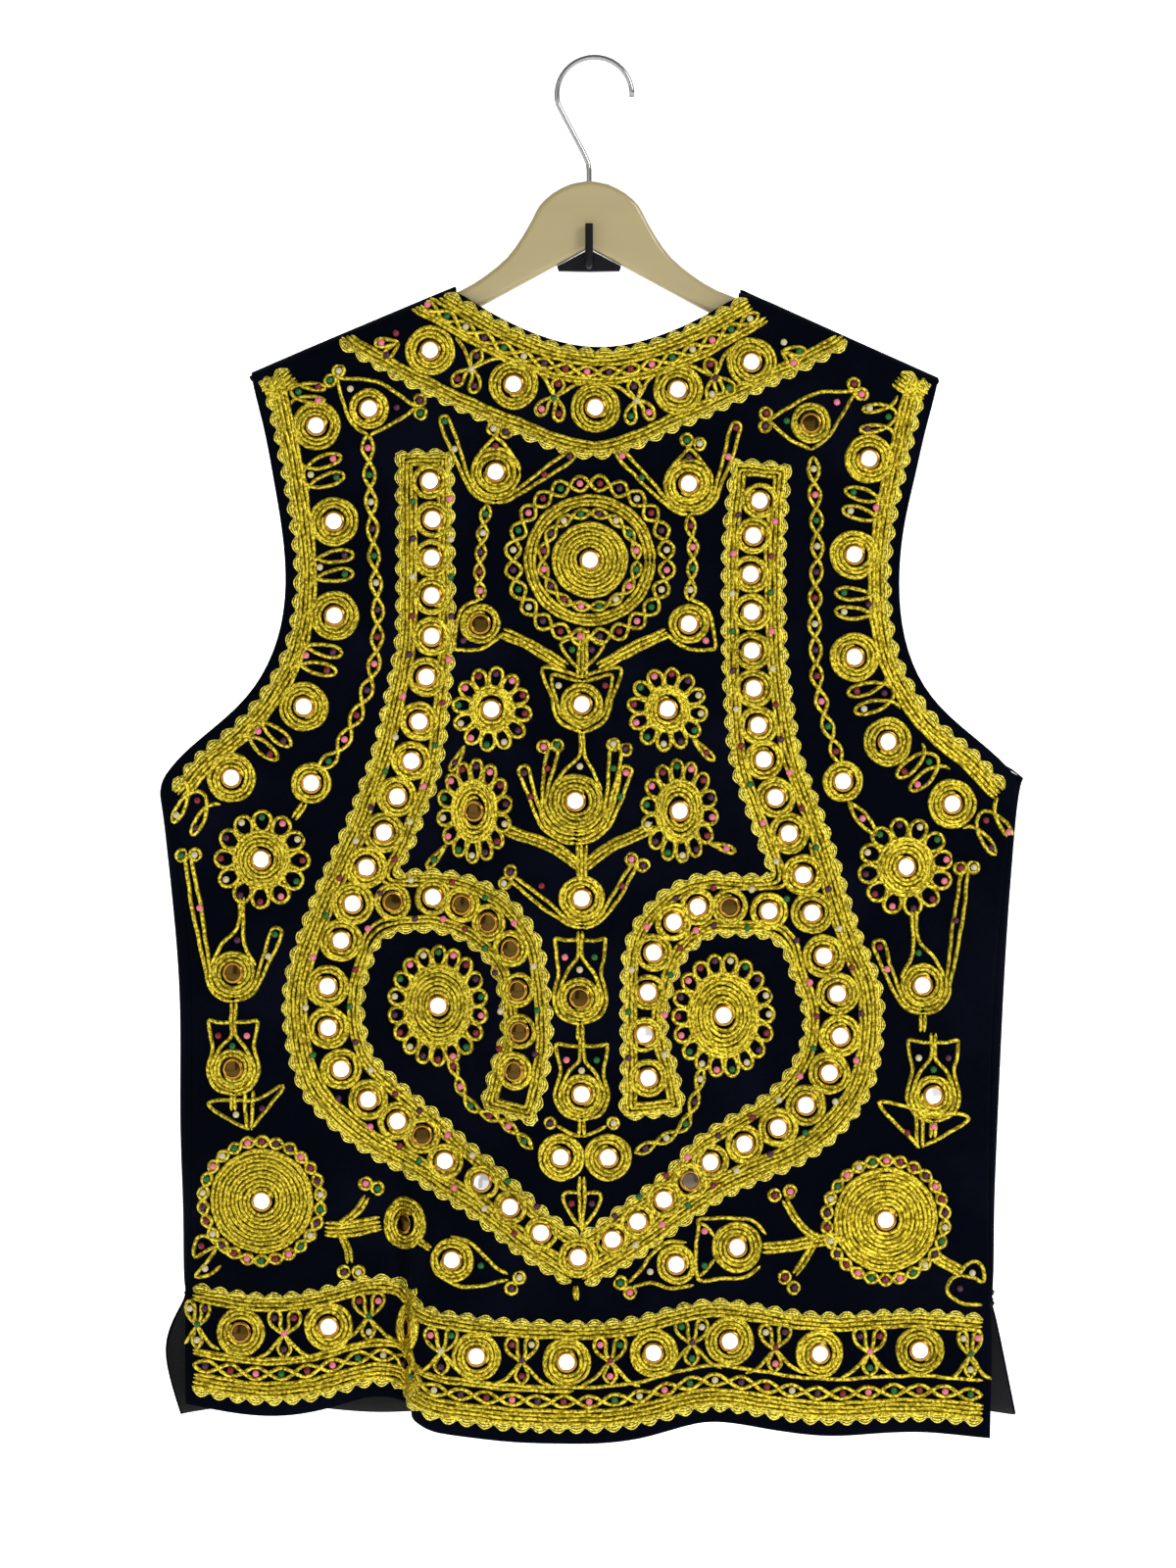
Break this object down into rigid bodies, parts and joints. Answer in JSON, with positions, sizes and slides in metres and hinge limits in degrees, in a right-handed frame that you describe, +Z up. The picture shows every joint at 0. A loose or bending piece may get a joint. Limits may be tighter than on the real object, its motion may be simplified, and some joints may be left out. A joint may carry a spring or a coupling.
{
  "type": "embroidered vest on hanger",
  "caption": "Sleeveless velvet waistcoat with couched gold-cord embroidery, round mirrors and beads, hanging on a pale wooden hanger with a wire hook.",
  "frame": {"origin": "inside top of the hanger's hook, where it rests on a rail", "axes": "+Z up, -Y out of the back of the garment, +X towards the wearer's right"},
  "size_m": [0.4842, 0.073, 0.7742],
  "materials": {
    "velvet": "black cotton velvet with a faint blue cast, charcoal backing",
    "gold_cord": "couched metallic gold cord, with beads and mirrors",
    "wood": "pale satin varnish",
    "steel": "polished wire",
    "plastic": "black moulded"
  },
  "bodies": {
    "root": {"accessory_hook": "plastic", "armhole_braid_left": "gold_cord", "armhole_braid_right": "gold_cord", "back_panel": "velvet", "curl_band_left": "gold_cord", "curl_band_right": "gold_cord", "curl_flower_left": "gold_cord", "curl_flower_right": "gold_cord", "front_armhole_braid_left": "gold_cord", "front_armhole_braid_right": "gold_cord", "front_edge_braid_left": "gold_cord", "front_edge_braid_right": "gold_cord", "front_hem_braid_lower_left": "gold_cord", "front_hem_braid_lower_right": "gold_cord", "front_hem_braid_upper_left": "gold_cord", "front_hem_braid_upper_right": "gold_cord", "front_panel_left": "velvet", "front_panel_right": "velvet", "hanger_bar": "wood", "hanger_hook": "steel", "hem_braid_lower": "gold_cord", "hem_braid_upper": "gold_cord", "lower_flower_left": "gold_cord", "lower_flower_right": "gold_cord", "neck_braid": "gold_cord", "side_flower_left": "gold_cord", "side_flower_right": "gold_cord", "sun_medallion": "gold_cord", "teardrop_band_left": "gold_cord", "teardrop_band_right": "gold_cord", "upper_flower_left": "gold_cord", "upper_flower_right": "gold_cord", "wheel_left": "gold_cord", "wheel_right": "gold_cord", "yoke_braid": "gold_cord"}
  },
  "joints": []
}
